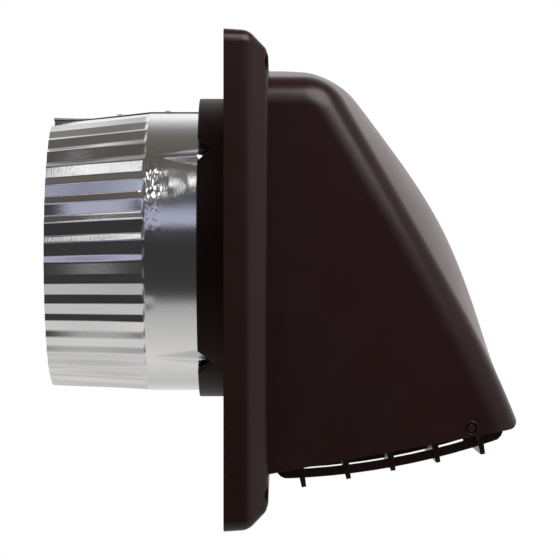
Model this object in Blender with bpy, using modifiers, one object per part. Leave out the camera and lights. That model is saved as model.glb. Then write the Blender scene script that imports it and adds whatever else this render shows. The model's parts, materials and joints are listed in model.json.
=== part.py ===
# Wall vent cap for a round duct: a moulded hood and flange in one piece, a crimped metal
# tailpipe in its collar, a damper flap behind the hood and a guard across the mouth.
# Metres. Z is up, +Y runs into the wall and the hood stands out towards -Y.
# The origin is on the collar's axis, in the plane of the wall.

import math

import bmesh
import bpy
from mathutils import Matrix, Vector

# Clearances
GAP = 0.0003  # left between pieces that rest on each other
PIN_CLEARANCE = 0.0003  # radial, round both kinds of hinge pin

# Moulding
WALL = 0.0020  # thickness of the flange, hood and collar
ROUND_STEPS = 72  # facets of the large round parts
HOLE_STEPS = 20  # facets of the small round parts

# Flange: a shallow square pan, open towards the wall
FLANGE_BORDER = 0.0242  # from the hood's side to the flange's edge, at the shoulders' height
FLANGE_DEPTH = 0.0152
FLANGE_CORNER = 0.0140  # corner radius, seen from the front
FLANGE_DROP = 0.0119  # the pan's centre lies this far below the collar's axis
SKIRT_DEPTH = 0.0061
SKIRT_DRAFT = 0.0004
SKIRT_ROUND = 0.0035  # radius from the skirt into the bevel
BEVEL_SLOPE = math.radians(53.5)  # off the forward direction
FACE_ROUND = 0.0030  # radius from the bevel into the front face

# Screw bosses at the flange's corners
SCREW_INSET = 0.0117  # from the flange's outer edge to a screw's axis
SCREW_HEAD_RADIUS = 0.0043
SCREW_HEAD_DEPTH = 0.0042
SCREW_HOLE_RADIUS = 0.0023
BOSS_WALL = 0.0020
RIB_THICKNESS = 0.0016
RIB_DEPTH = 0.0080

# Tailpipe
DUCT_DIAMETER = 0.1016
DUCT_WALL = 0.0004
DUCT_REACH = 0.0640  # behind the plane of the wall
CRIMP_LENGTH = 0.0340
CRIMP_RUNOUT = 0.0015  # from the plain tube to the full depth of the flutes
CRIMP_DEPTH = 0.00095  # from the top of each flute to its groove
CRIMP_TAPER = 0.0030  # loss of radius from the plain tube to the free end
CRIMP_SAG = 0.0010  # the crimped end's centre lies this far below the tube's axis
CRIMP_COUNT = 42
CRIMP_GROOVE = 0.38  # share of each flute that rises again, steeper than its land falls
SEAM_HEIGHT = 0.0007
SEAM_WIDTH = 0.0047

# Collar that holds the tailpipe
COLLAR_PLAY = 0.0018  # radial, between the collar's bore and the tailpipe
COLLAR_REACH = 0.0101  # behind the plane of the wall
COLLAR_STOP = 0.0041  # the plate's lip inside the collar, which stops the tailpipe
NOTCH_WIDTH = 0.0118
NOTCH_DEPTH = 0.0055
STAKE_CATCH = 0.0009  # rise of the stakes past the collar's bore
STAKE_ANGLE = math.radians(4.2)  # half the width of a stake, round the tube
STAKE_TAIL = 0.0169  # from a stake's peak back to the plain tube
STAKE_ROOM = 0.0006  # from a notch's point to the start of its stake

# Hood: its shoulder line, seen from the side, is a flat top, a round brow, a sloping face
# and a chin that grows steeper towards the mouth
HOOD_TOP_ROOM = 0.0049  # from the collar's top up to the shoulder line
HOOD_SIDE_ROOM = 0.0069  # from the collar's side out to the hood's, at the shoulder line's height
HOOD_DRAFT = math.radians(1.8)  # the side walls spread downwards
HOOD_CORNER = 0.0110  # radius between the face and the side walls
BROW_START = 0.0273  # forward of the wall
BROW_RADIUS = 0.0167
FACE_SLOPE = math.radians(29.7)  # off the vertical
FACE_LENGTH = 0.0806
CHIN_RADIUS = 0.3210
CROWN_TOP = 0.0046  # rise of the middle over the shoulders, at the flange
CROWN_FACE = 0.0093  # the same at its fullest
CROWN_PEAK = 0.0503  # down the face, from the end of the brow
CROWN_ABOVE = 0.0700  # length over which the crown grows
CROWN_BELOW = 0.0800  # length over which it fades
CROWN_STEPS = 5
CORNER_STEPS = 5

# Mouth: a plane that rises away from the wall
MOUTH_ROOM = 0.0245  # below the collar, where the mouth meets the flange
MOUTH_TILT = math.radians(10.4)
LIP_ROUND = 0.0030  # radius between the chin and the mouth's front edge

# Damper flap
SEAT_HEIGHT = 0.0015  # ring round the bore that the flap closes on
SEAT_WIDTH = 0.0020
FLAP_THICKNESS = 0.0016
FLAP_OVERLAP = 0.0010  # beyond the seat ring
FLAP_NECK = 0.0300  # half width of the part between disc and hinge
STIFFENER_HEIGHT = 0.0012
STIFFENER_WIDTH = 0.0015
DAMPER_PIN_RADIUS = 0.0016
DAMPER_PIN_RISE = 0.0031  # axis above the disc's top edge
LUG_OFFSET = 0.0380
LUG_THICKNESS = 0.0030
LUG_WALL = 0.0015

# Bird guard, set out along the mouth from the flange
RAIL_THICKNESS = 0.0022
RAIL_DEPTH = 0.0031
RAIL_DROP = 0.0031  # lower edge below the mouth, at the rail's ends
RAIL_BOW = 0.0026  # further below, in the middle
RAIL_CORNER = 0.0040
RAIL_START = 0.0028
LIP_ROOM = 0.0059  # from the rails' front ends to the hood's front lip
BAR_COUNT = 5
BAR_PITCH = 0.0158
BAR_FOOT = 0.0069  # below the mouth
BAR_HEAD = 0.0015  # above the mouth
BAR_HEAD_THICKNESS = 0.0025
BAR_FOOT_THICKNESS = 0.0016
BAR_OVERHANG = 0.0010  # past a side rail's outer face
END_BAR_THICKNESS = 0.0024
END_BAR_DEPTH = 0.0028
TONGUE_WIDTH = 0.0140
TONGUE_HEIGHT = 0.0060
TONGUE_THICKNESS = 0.0014
GUARD_PIN_RADIUS = 0.0014
GUARD_PIN_BACK = 0.0170  # from the hood's front lip, along the mouth
GUARD_PIN_RISE = 0.0030  # above the mouth, square to it
EAR_RADIUS = 0.0032
PIN_ROOT_RADIUS = 0.0022
PIN_ROOT_ROOM = 0.0008  # from a pin's thick root to the hood's wall
PIN_SEAT_RADIUS = 0.0024
PIN_SEAT_DEPTH = 0.0008
PIN_RING_RADIUS = 0.0031
PIN_RING_HEIGHT = 0.0004
PIN_END_DEPTH = 0.0004  # the pin's end below its ring's face

# Sizes that follow from the ones above
DUCT_RADIUS = DUCT_DIAMETER / 2
COLLAR_BORE = DUCT_RADIUS + COLLAR_PLAY
COLLAR_RADIUS = COLLAR_BORE + WALL
HOOD_TOP = COLLAR_RADIUS + HOOD_TOP_ROOM
HOOD_HALF_WIDTH = COLLAR_RADIUS + HOOD_SIDE_ROOM
MOUTH_DROP = COLLAR_RADIUS + MOUTH_ROOM
FLANGE_HALF = HOOD_HALF_WIDTH + FLANGE_BORDER
SCREW_OFFSET = FLANGE_HALF - SCREW_INSET
DUCT_SAG = COLLAR_PLAY - GAP  # the tailpipe lies on the bottom of the collar's bore
CRIMP_START = DUCT_REACH - CRIMP_LENGTH
PLATE_BACK = FLANGE_DEPTH - WALL
PLATE_MIDDLE = FLANGE_DEPTH - WALL / 2
BORE_RADIUS = COLLAR_BORE - COLLAR_STOP
SEAT_RADIUS = BORE_RADIUS + SEAT_WIDTH
DISC_RADIUS = SEAT_RADIUS + FLAP_OVERLAP
FLAP_BACK = FLANGE_DEPTH + SEAT_HEIGHT + GAP
FLAP_FRONT = FLAP_BACK + FLAP_THICKNESS
FLAP_MIDDLE = FLAP_BACK + FLAP_THICKNESS / 2
DAMPER_AXIS = DISC_RADIUS + DAMPER_PIN_RISE  # its height; it lies in the flap's middle plane
BROW_TURN = math.pi / 2 - FACE_SLOPE
FACE_RUN = BROW_START - PLATE_MIDDLE + BROW_RADIUS * BROW_TURN


def start_scene():
    """Empties the scene and makes the two collections."""
    for old in list(bpy.data.objects):
        bpy.data.objects.remove(old, do_unlink=True)
    parts = bpy.data.collections.new("vent_cap")
    helpers = bpy.data.collections.new("cutters")
    for group in (parts, helpers):
        bpy.context.scene.collection.children.link(group)
    return parts, helpers


PARTS, HELPERS = start_scene()


def make_material(name, colour, roughness, metallic):
    made = bpy.data.materials.new(name)
    made.use_nodes = True
    shader = made.node_tree.nodes["Principled BSDF"]
    shader.inputs["Base Color"].default_value = (*colour, 1.0)
    shader.inputs["Roughness"].default_value = roughness
    shader.inputs["Metallic"].default_value = metallic
    return made


def place(name, mesh, group):
    """Puts a mesh or curve in the scene; helpers stay out of the finished part."""
    made = bpy.data.objects.new(name, mesh)
    group.objects.link(made)
    if group is HELPERS:
        made.hide_render = True
        made.display_type = "WIRE"
    return made


def at(x, forward, height):
    """A point given by its place across, out of the wall and up."""
    return Vector((x, -forward, height))


def side_frame(x=0.0):
    """Local X runs out of the wall, local Y runs up and the thickness runs across."""
    return Matrix(((0, 0, -1, x), (-1, 0, 0, 0), (0, 1, 0, 0), (0, 0, 0, 1)))


def mouth_frame(x=0.0):
    """As side_frame, with local X along the mouth from the flange and local Y square to it."""
    start = Matrix.Translation(at(x, FLANGE_DEPTH, -MOUTH_DROP))
    return start @ side_frame() @ Matrix.Rotation(MOUTH_TILT, 4, "Z")


def mouth_height(forward):
    return -MOUTH_DROP + (forward - FLANGE_DEPTH) * math.tan(MOUTH_TILT)


def loft(name, rings, group, closed=True):
    """A skin over rings of equal count; closed rings are also capped at both ends."""
    count = len(rings[0])
    faces = []
    for level in range(len(rings) - 1):
        for i in range(count if closed else count - 1):
            j = (i + 1) % count
            low, high = level * count, (level + 1) * count
            faces.append((low + i, low + j, high + j, high + i))
    if closed:
        faces.append(tuple(reversed(range(count))))
        faces.append(tuple((len(rings) - 1) * count + i for i in range(count)))
    mesh = bpy.data.meshes.new(name)
    mesh.from_pydata([point for ring in rings for point in ring], [], faces)
    mesh.update()
    return place(name, mesh, group)


def prism(name, outline, thickness, frame):
    """A flat outline with a thickness, as a helper solid."""
    curve = bpy.data.curves.new(name, "CURVE")
    curve.dimensions = "2D"
    curve.fill_mode = "BOTH"
    curve.extrude = thickness / 2
    spline = curve.splines.new("POLY")
    spline.points.add(len(outline) - 1)
    for point, (x, y) in zip(spline.points, outline):
        point.co = (x, y, 0, 1)
    spline.use_cyclic_u = True
    drawn = place(name + "_outline", curve, HELPERS)
    graph = bpy.context.evaluated_depsgraph_get()
    mesh = bpy.data.meshes.new_from_object(drawn.evaluated_get(graph))
    bpy.data.objects.remove(drawn, do_unlink=True)
    shape = bmesh.new()
    shape.from_mesh(mesh)
    bmesh.ops.remove_doubles(shape, verts=shape.verts, dist=1e-6)
    bmesh.ops.recalc_face_normals(shape, faces=shape.faces)
    shape.to_mesh(mesh)
    shape.free()
    mesh.transform(frame)
    return place(name, mesh, HELPERS)


def rod(name, radius, start, end, steps=HOLE_STEPS):
    """A cylinder between two points, as a helper solid."""
    run = end - start
    turn = run.to_track_quat("Z", "Y").to_matrix().to_4x4()
    shape = bmesh.new()
    bmesh.ops.create_cone(
        shape, cap_ends=True, segments=steps, radius1=radius, radius2=radius,
        depth=run.length, matrix=Matrix.Translation((start + end) / 2) @ turn,
    )
    mesh = bpy.data.meshes.new(name)
    shape.to_mesh(mesh)
    shape.free()
    return place(name, mesh, HELPERS)


def disc(name, radius, near, far, x=0.0, height=0.0, steps=ROUND_STEPS):
    """A cylinder square to the wall, between two distances in front of it."""
    return rod(name, radius, at(x, near, height), at(x, far, height), steps)


def bake(piece):
    """Replaces a mesh object's mesh by what its modifiers make of it."""
    graph = bpy.context.evaluated_depsgraph_get()
    mesh = bpy.data.meshes.new_from_object(piece.evaluated_get(graph))
    piece.modifiers.clear()
    piece.data = mesh


def combine(body, others, operation):
    """Unites others with a body, or cuts them from it, one after another."""
    for other in others:
        step = body.modifiers.new(other.name, "BOOLEAN")
        step.operation = operation
        step.solver = "EXACT"
        step.object = other
    bake(body)
    return body


def thicken(piece, thickness):
    """Gives an open surface its wall, inwards from its outer face."""
    step = piece.modifiers.new("wall", "SOLIDIFY")
    step.thickness = thickness
    step.offset = -1
    step.use_even_offset = True
    bake(piece)


def finish(piece, material):
    piece.data.materials.clear()
    piece.data.materials.append(material)
    piece.data.shade_smooth()
    piece.data.set_sharp_from_angle(angle=math.radians(28))


def set_origin(piece, point):
    """Moves a piece's own origin to a point without moving the piece."""
    piece.data.transform(Matrix.Translation(-point))
    piece.location = point


# The flange


def flange_profile(inset_by):
    """Inset and depth along the pan's section, moved inwards by a distance square to it."""
    draft = math.atan2(SKIRT_DRAFT, SKIRT_DEPTH)
    stations = [(0.0, 0.0, draft)]
    for step in range(4):
        slope = draft + (BEVEL_SLOPE - draft) * step / 3
        inset = SKIRT_DRAFT + SKIRT_ROUND * (math.cos(draft) - math.cos(slope))
        depth = SKIRT_DEPTH + SKIRT_ROUND * (math.sin(slope) - math.sin(draft))
        stations.append((inset, depth, slope))
    bevel_inset, bevel_depth, _slope = stations[-1]
    bevel_end = FLANGE_DEPTH - FACE_ROUND * (1 - math.sin(BEVEL_SLOPE))
    bevel_inset += (bevel_end - bevel_depth) * math.tan(BEVEL_SLOPE)
    for step in range(4):
        slope = BEVEL_SLOPE + (math.pi / 2 - BEVEL_SLOPE) * step / 3
        inset = bevel_inset + FACE_ROUND * (math.cos(BEVEL_SLOPE) - math.cos(slope))
        depth = bevel_end + FACE_ROUND * (math.sin(slope) - math.sin(BEVEL_SLOPE))
        stations.append((inset, depth, slope))
    return [
        (inset + inset_by * math.cos(slope), depth - inset_by * math.sin(slope))
        for inset, depth, slope in stations
    ]


def rounded_square(inset, depth):
    """One ring of the pan, counted round anticlockwise as seen from the front."""
    half = FLANGE_HALF - inset
    radius = FLANGE_CORNER - min(inset, 0.7 * FLANGE_CORNER)
    ring = []
    for quarter in range(4):
        middle = math.radians(45 + 90 * quarter)
        corner_x = math.copysign(half - radius, math.cos(middle))
        corner_z = math.copysign(half - radius, math.sin(middle))
        for step in range(CORNER_STEPS + 1):
            angle = math.radians(90) * (quarter + step / CORNER_STEPS)
            x = corner_x + radius * math.cos(angle)
            z = corner_z + radius * math.sin(angle)
            ring.append(at(x, depth, z - FLANGE_DROP))
    return ring


def screw_places():
    """Each screw's place across and up."""
    sides = (-1, 1)
    return [(sx * SCREW_OFFSET, sz * SCREW_OFFSET - FLANGE_DROP) for sz in sides for sx in sides]


def flange():
    """The pan: a block whose hollow leaves its wall, four bosses and a rib to each."""
    block = loft("flange_block", [rounded_square(*ring) for ring in flange_profile(0.0)], HELPERS)
    hollow_profile = [(WALL, -WALL)] + flange_profile(WALL)[1:]
    hollow = loft("flange_hollow", [rounded_square(*ring) for ring in hollow_profile], HELPERS)
    inner = COLLAR_RADIUS - WALL / 2
    kept = []
    for number, (x, z) in enumerate(screw_places()):
        boss_radius = SCREW_HEAD_RADIUS + BOSS_WALL
        kept.append(
            disc(f"boss_{number}", boss_radius, -2 * WALL, FLANGE_DEPTH, x, z, HOLE_STEPS)
        )
        reach = math.hypot(x, z)
        outline = [(inner, 0), (reach, 0), (reach, RIB_DEPTH + WALL), (inner, RIB_DEPTH + WALL)]
        turn = Matrix.Rotation(-math.atan2(z, x), 4, "Y")
        frame = turn @ Matrix.Translation(at(0, FLANGE_DEPTH, 0))
        kept.append(prism(f"rib_{number}", outline, RIB_THICKNESS, frame))
    combine(hollow, kept, "DIFFERENCE")
    return combine(block, [hollow], "DIFFERENCE")


def screw_cutters():
    """A hole and a head recess for each screw."""
    made = []
    floor = FLANGE_DEPTH - SCREW_HEAD_DEPTH
    over = FLANGE_DEPTH + WALL
    for number, (x, z) in enumerate(screw_places()):
        head = disc(f"screw_head_{number}", SCREW_HEAD_RADIUS, floor, over, x, z, HOLE_STEPS)
        made += [head, disc(f"screw_hole_{number}", SCREW_HOLE_RADIUS, -WALL, over, x, z, HOLE_STEPS)]
    return made


# The hood


def shoulder_line(run):
    """Forward place, height and slope of the shoulder line, by the run along it.

    The run starts in the middle of the plate, and the slope is 0 on the flat top.
    """
    top_run = BROW_START - PLATE_MIDDLE
    if run <= top_run:
        return PLATE_MIDDLE + run, HOOD_TOP, 0.0
    turned = min((run - top_run) / BROW_RADIUS, BROW_TURN)
    straight = min(max(run - FACE_RUN, 0.0), FACE_LENGTH)
    slope = turned + max(run - FACE_RUN - FACE_LENGTH, 0.0) / CHIN_RADIUS
    forward = BROW_START + BROW_RADIUS * math.sin(turned) + straight * math.cos(turned)
    height = HOOD_TOP - BROW_RADIUS * (1 - math.cos(turned)) - straight * math.sin(turned)
    forward += CHIN_RADIUS * (math.sin(slope) - math.sin(turned))
    height += CHIN_RADIUS * (math.cos(slope) - math.cos(turned))
    return forward, height, slope


def crown_rise(run):
    """How far the middle stands out over the shoulders: a cosine swell down the face."""
    away = run - FACE_RUN - CROWN_PEAK
    base, spread = (CROWN_TOP, CROWN_ABOVE) if away < 0 else (0.0, CROWN_BELOW)
    share = min(abs(away) / spread, 1.0)
    return base + (CROWN_FACE - base) * math.cos(share * math.pi / 2) ** 2


def half_width(height):
    return HOOD_HALF_WIDTH + (HOOD_TOP - height) * math.tan(HOOD_DRAFT)


def hood_section(run):
    """A section of the hood's outer face, from the left side wall to the right one.

    The crown is a parabola, and each corner is an arc that leaves it at the same slope.
    """
    forward, height, slope = shoulder_line(run)
    out = Vector((math.sin(slope), math.cos(slope)))
    rise = crown_rise(run)
    leave = math.atan(2 * rise / (half_width(height) - HOOD_CORNER))
    wall = half_width(height - out.y * HOOD_CORNER * math.cos(leave))
    edge = wall - HOOD_CORNER * (1 - math.sin(leave))
    half = []
    for step in range(CROWN_STEPS):
        share = step / CROWN_STEPS
        half.append((edge * share, rise * (1 - share**2)))
    for step in range(CORNER_STEPS + 1):
        angle = leave + (math.pi / 2 - leave) * step / CORNER_STEPS
        x = wall - HOOD_CORNER * (1 - math.sin(angle))
        half.append((x, HOOD_CORNER * (math.cos(angle) - math.cos(leave))))
    whole = [(-x, lift) for x, lift in reversed(half[1:])] + half
    return [at(x, forward + out.x * lift, height + out.y * lift) for x, lift in whole]


def mouth_run():
    """The run along the shoulder line at which it meets the mouth."""
    low, high = 0.0, 2 * (BROW_RADIUS + FACE_LENGTH + MOUTH_DROP)
    for _ in range(40):
        middle = (low + high) / 2
        forward, height, _slope = shoulder_line(middle)
        if height > mouth_height(forward):
            low = middle
        else:
            high = middle
    return low


def hood_runs():
    """The runs at which the hood has a section, closer together round the brow."""
    brow = BROW_START - PLATE_MIDDLE
    end = mouth_run() + 3 * WALL
    runs = [0.0]
    runs += [brow + (FACE_RUN - brow) * step / 6 for step in range(7)]
    runs += [FACE_RUN + (end - FACE_RUN) * step / 11 for step in range(1, 12)]
    return runs


def mouth_cutter():
    """All that lies below the mouth, with the front lip's corner rounded."""
    forward, height, slope = shoulder_line(mouth_run())
    lip = Vector((forward, height))
    back = Vector((-math.cos(MOUTH_TILT), -math.sin(MOUTH_TILT)))
    up = Vector((-math.cos(slope), math.sin(slope)))
    half_angle = back.angle(up) / 2
    centre = lip + (back + up).normalized() * (LIP_ROUND / math.sin(half_angle))
    start = lip + back * (LIP_ROUND / math.tan(half_angle)) - centre
    sweep = math.pi - 2 * half_angle
    outline = [(0.0, mouth_height(0.0))]
    for step in range(5):
        turned = Matrix.Rotation(sweep * step / 4, 2) @ start
        outline.append(tuple(centre + turned))
    far = 2 * FACE_LENGTH
    outline += [(far, outline[-1][1]), (far, -far), (0.0, -far)]
    return prism("below_mouth", outline, 2 * far, side_frame())


def hood():
    """The hood's wall, open at the back and at the mouth."""
    rows = [hood_section(run) for run in hood_runs()]
    shell = loft("hood_shell", rows, HELPERS, closed=False)
    shape = bmesh.new()
    shape.from_mesh(shell.data)
    skin = list(shape.verts)
    count = len(rows[0])
    low = -MOUTH_DROP - 3 * WALL
    for side in (0, count - 1):
        sign = math.copysign(1, rows[0][side].x)
        corner = shape.verts.new(at(sign * half_width(low), PLATE_MIDDLE, low))
        shape.faces.new(skin[side::count] + [corner])
    bmesh.ops.recalc_face_normals(shape, faces=shape.faces)
    front = min(shape.faces, key=lambda face: face.calc_center_median().y)
    if front.normal.y > 0:
        bmesh.ops.reverse_faces(shape, faces=shape.faces)
    shape.to_mesh(shell.data)
    shape.free()
    thicken(shell, WALL)
    return combine(shell, [mouth_cutter()], "DIFFERENCE")


def mouth_length():
    """From the flange to the hood's front lip, along the mouth."""
    forward, _height, _slope = shoulder_line(mouth_run())
    return (forward - FLANGE_DEPTH) / math.cos(MOUTH_TILT)


def guard_axis():
    """Forward place and height of the guard's pins."""
    along = mouth_length() - GUARD_PIN_BACK
    place_in_mouth = mouth_frame() @ Vector((along, GUARD_PIN_RISE, 0))
    return -place_in_mouth.y, place_in_mouth.z


def pin_seat(name, radius, inner, outer):
    """A pair of discs on the guard's axis, between two distances from the middle."""
    made = []
    for sign in (-1, 1):
        start, end = at(sign * inner, *guard_axis()), at(sign * outer, *guard_axis())
        made.append(rod(f"{name}_{sign}", radius, start, end))
    return made


def damper_lugs():
    """Two ears on the plate above the bore, bored for the flap's pins."""
    bore = DAMPER_PIN_RADIUS + PIN_CLEARANCE
    nose = []
    for step in range(9):
        angle = math.pi / 2 - math.pi * step / 8
        x = FLAP_MIDDLE + (bore + LUG_WALL) * math.cos(angle)
        nose.append((x, DAMPER_AXIS + (bore + LUG_WALL) * math.sin(angle)))
    outline = [(PLATE_MIDDLE, nose[0][1])] + nose + [(PLATE_MIDDLE, nose[-1][1])]
    made = []
    for sign in (-1, 1):
        x = sign * LUG_OFFSET
        lug = prism(f"damper_lug_{sign}", outline, LUG_THICKNESS, side_frame(x))
        start = at(x - LUG_THICKNESS, FLAP_MIDDLE, DAMPER_AXIS)
        end = at(x + LUG_THICKNESS, FLAP_MIDDLE, DAMPER_AXIS)
        made.append(combine(lug, [rod(f"lug_bore_{sign}", bore, start, end)], "DIFFERENCE"))
    return made


def notch_angles():
    """Directions of the collar's notches, in line with the screw bosses."""
    return [math.atan2(z, x) for x, z in screw_places()]


def notches():
    """V cutters for the collar's rear edge."""
    rim, over = -COLLAR_REACH, NOTCH_DEPTH
    spread = NOTCH_WIDTH / 2 * (NOTCH_DEPTH + over) / NOTCH_DEPTH
    outline = [(rim + NOTCH_DEPTH, 0.0), (rim - over, spread), (rim - over, -spread)]
    made = []
    for number, angle in enumerate(notch_angles()):
        frame = Matrix.Rotation(-angle, 4, "Y") @ side_frame(COLLAR_RADIUS)
        made.append(prism(f"notch_{number}", outline, 6 * WALL, frame))
    return made


def hood_body(material):
    """Flange, hood and collar: one moulding."""
    collar = disc("collar", COLLAR_RADIUS, PLATE_MIDDLE, -COLLAR_REACH)
    seat = disc("seat_ring", SEAT_RADIUS, PLATE_MIDDLE, FLANGE_DEPTH + SEAT_HEIGHT)
    socket = disc("collar_bore", COLLAR_BORE, PLATE_BACK, -COLLAR_REACH - WALL)
    through = disc("bore", BORE_RADIUS, FLANGE_DEPTH + 2 * SEAT_HEIGHT, -COLLAR_REACH - WALL)
    wall = half_width(guard_axis()[1])
    ring_face = wall + PIN_RING_HEIGHT
    rings = pin_seat("pin_ring", PIN_RING_RADIUS, wall - WALL / 2, ring_face)
    recesses = pin_seat("pin_recess", PIN_SEAT_RADIUS, ring_face - PIN_SEAT_DEPTH, wall + WALL)
    holes = pin_seat("pin_hole", GUARD_PIN_RADIUS + PIN_CLEARANCE, wall - 2 * WALL, wall + WALL)
    body = place("hood_body", flange().data.copy(), PARTS)
    combine(body, [collar, seat, hood()] + rings + damper_lugs(), "UNION")
    combine(body, [socket, through] + notches() + screw_cutters() + recesses + holes, "DIFFERENCE")
    finish(body, material)


# The tailpipe


def stakes():
    """Direction from the tube's own axis, and height, of each of the four stakes."""
    found = []
    for angle in notch_angles():
        x = COLLAR_BORE * math.cos(angle)
        z = COLLAR_BORE * math.sin(angle) + DUCT_SAG
        found.append((math.atan2(z, x), math.hypot(x, z) - DUCT_RADIUS + STAKE_CATCH))
    return found


def tube_radius(angle, back, depth, seam):
    """Outer radius of the tailpipe; depth is 0 where a land starts and 1 in its groove."""
    along = max((back - CRIMP_START) / CRIMP_LENGTH, 0.0)
    radius = DUCT_RADIUS - CRIMP_TAPER * along
    if seam:
        return radius + SEAM_HEIGHT + CRIMP_SAG * along
    if back == COLLAR_REACH:
        for middle, height in stakes():
            off = abs(math.remainder(angle - middle, 2 * math.pi))
            radius += height * max(0.0, 1 - off / STAKE_ANGLE)
    crimped = min(max((back - CRIMP_START) / CRIMP_RUNOUT, 0.0), 1.0)
    return radius - CRIMP_DEPTH * crimped * depth


def tube_columns():
    """Angle and depth of each bend along the tube, and whether it is an edge of the seam.

    The seam lies along the top. Each flute's land leans inwards to its groove, all the same way
    round.
    """
    pitch = 2 * math.pi / CRIMP_COUNT
    top = math.pi / 2
    seam_half = SEAM_WIDTH / 2 / DUCT_RADIUS
    columns = [(top - seam_half, 0.0, True), (top + seam_half, 0.0, True)]
    for number in range(CRIMP_COUNT):
        start = top + number * pitch
        if number > 0:
            columns.append((start, 0.0, False))
        columns.append((start + pitch * (1 - CRIMP_GROOVE), 1.0, False))
    first = columns[0][0]
    extra = []
    for middle, _height in stakes():
        for off in (-STAKE_ANGLE, 0.0, STAKE_ANGLE):
            angle = first + (middle + off - first) % (2 * math.pi)
            extra.append((angle, flute_depth(angle, columns), False))
    return sorted(columns + extra)


def flute_depth(angle, columns):
    """Groove depth at an angle between two lines, in proportion."""
    below = max(column for column in columns if column[0] <= angle)
    above = min((column for column in columns if column[0] > angle), default=columns[0])
    share = (angle - below[0]) / ((above[0] - below[0]) % (2 * math.pi))
    return below[1] + (above[1] - below[1]) * share


def tailpipe(material):
    """A rolled sheet tube, crimped at its free end and closed by a seam along its top."""
    stake_start = COLLAR_REACH - NOTCH_DEPTH + STAKE_ROOM
    stations = [-PLATE_BACK + GAP, stake_start, COLLAR_REACH, COLLAR_REACH + STAKE_TAIL]
    stations += [CRIMP_START, CRIMP_START + CRIMP_RUNOUT, DUCT_REACH]
    columns = tube_columns()
    rows = []
    for back in stations:
        along = max((back - CRIMP_START) / CRIMP_LENGTH, 0.0)
        row = []
        for angle, depth, seam in columns:
            radius = tube_radius(angle, back, depth, seam)
            height = radius * math.sin(angle) - DUCT_SAG - CRIMP_SAG * along
            row.append(at(radius * math.cos(angle), -back, height))
        rows.append(row + row[:1])
    tube = loft("tailpipe", rows, PARTS, closed=False)
    shape = bmesh.new()
    shape.from_mesh(tube.data)
    bmesh.ops.remove_doubles(shape, verts=shape.verts, dist=1e-6)
    bmesh.ops.reverse_faces(shape, faces=shape.faces)
    shape.to_mesh(tube.data)
    shape.free()
    thicken(tube, DUCT_WALL)
    for vertex in tube.data.vertices:
        if vertex.co.y > DUCT_REACH - DUCT_WALL:
            vertex.co.y = DUCT_REACH  # the free end is cut square
    finish(tube, material)


# The damper


def damper_flap(material):
    """Disc, rim, cross ribs, neck and hinge bar: one moulding that hangs from the lugs."""
    flap = place("damper_flap", disc("damper_disc", DISC_RADIUS, FLAP_BACK, FLAP_FRONT).data, PARTS)
    crest = FLAP_FRONT + STIFFENER_HEIGHT
    rim = disc("damper_rim", DISC_RADIUS - GAP, FLAP_MIDDLE, crest)
    inside = disc("damper_rim_inside", DISC_RADIUS - STIFFENER_WIDTH, 0.0, crest + WALL)
    combine(rim, [inside], "DIFFERENCE")
    reach = DISC_RADIUS - STIFFENER_WIDTH / 2
    upright = [(FLAP_MIDDLE, -reach), (crest, -reach), (crest, reach), (FLAP_MIDDLE, reach)]
    rib = prism("damper_rib", upright, STIFFENER_WIDTH, side_frame())
    turned = Matrix.Rotation(math.pi / 2, 4, "Y") @ side_frame()
    cross = prism("damper_cross_rib", upright, STIFFENER_WIDTH, turned)
    root = DISC_RADIUS * math.cos(math.asin(FLAP_NECK / DISC_RADIUS)) - STIFFENER_WIDTH
    neck_outline = [(FLAP_BACK + GAP, root), (FLAP_FRONT + GAP, root)]
    neck_outline += [(FLAP_FRONT + GAP, DAMPER_AXIS), (FLAP_BACK + GAP, DAMPER_AXIS)]
    neck = prism("damper_neck", neck_outline, 2 * FLAP_NECK, side_frame())
    half = LUG_OFFSET + LUG_THICKNESS
    ends = [at(side * half, FLAP_MIDDLE, DAMPER_AXIS) for side in (-1, 1)]
    combine(flap, [rim, rib, cross, neck, rod("damper_bar", DAMPER_PIN_RADIUS, *ends)], "UNION")
    finish(flap, material)
    set_origin(flap, at(0, FLAP_MIDDLE, DAMPER_AXIS))


# The guard


def rail_ends():
    """Where the rails start and end, along the mouth."""
    return RAIL_START, mouth_length() - LIP_ROOM


def rail_outer():
    """Half the guard's width over its side rails.

    Half the inner radius of the hood's corners is left free, so that the rails' ends clear them.
    """
    return half_width(guard_axis()[1]) - WALL - (HOOD_CORNER - WALL) / 2


def rail_outline():
    """Side view of a rail, bowed below the mouth, its ends turned up into the hood."""
    lower, upper = [], []
    start, end = rail_ends()
    middle = (start + end) / 2
    half = (end - start) / 2 - RAIL_CORNER
    inner = RAIL_CORNER - RAIL_DEPTH
    for side in (-1, 1):
        for step in range(5):
            angle = math.pi / 2 * (step / 4 if side > 0 else 1 - step / 4)
            across, down = side * math.sin(angle), math.cos(angle)
            base = (middle + side * half, RAIL_CORNER - RAIL_DROP)
            lower.append((base[0] + RAIL_CORNER * across, base[1] - RAIL_CORNER * down))
            upper.append((base[0] + inner * across, base[1] - inner * down))
        if side < 0:
            for step in range(1, 10):
                off = step / 5 - 1
                drop = RAIL_DROP + RAIL_BOW * (1 - off**2)
                lower.append((middle + half * off, -drop))
                upper.append((middle + half * off, RAIL_DEPTH - drop))
    return lower + upper[::-1]


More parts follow.
